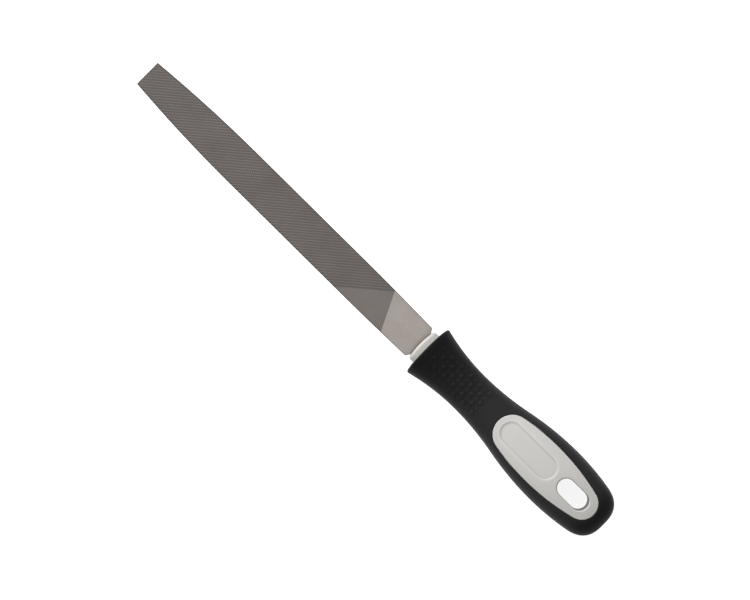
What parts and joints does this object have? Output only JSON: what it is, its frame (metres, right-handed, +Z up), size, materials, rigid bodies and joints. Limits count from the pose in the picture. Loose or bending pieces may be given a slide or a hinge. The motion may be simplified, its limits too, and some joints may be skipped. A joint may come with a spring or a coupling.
{
  "type": "flat file",
  "caption": "Flat metalworking file: a tapering double-cut steel blade whose tang sits in a two-component moulded handle with a soft sleeve, a hard label panel and a hang slot.",
  "frame": {"origin": "under the middle of the tool's box, on the plane that the handle rests on", "axes": "+X along the tool towards the blade's tip, +Y across the blade's width, +Z up, square to the blade's faces"},
  "size_m": [0.2506, 0.0264, 0.0204],
  "materials": {
    "file_steel": "dark grey hardened steel with cut teeth, ground bright at the heel",
    "core_plastic": "satin light-grey moulded plastic",
    "grip_soft": "matte black soft moulding"
  },
  "bodies": {
    "root": {"file_blade": "file_steel", "handle_core": "core_plastic", "grip_sleeve": "grip_soft"}
  },
  "joints": []
}
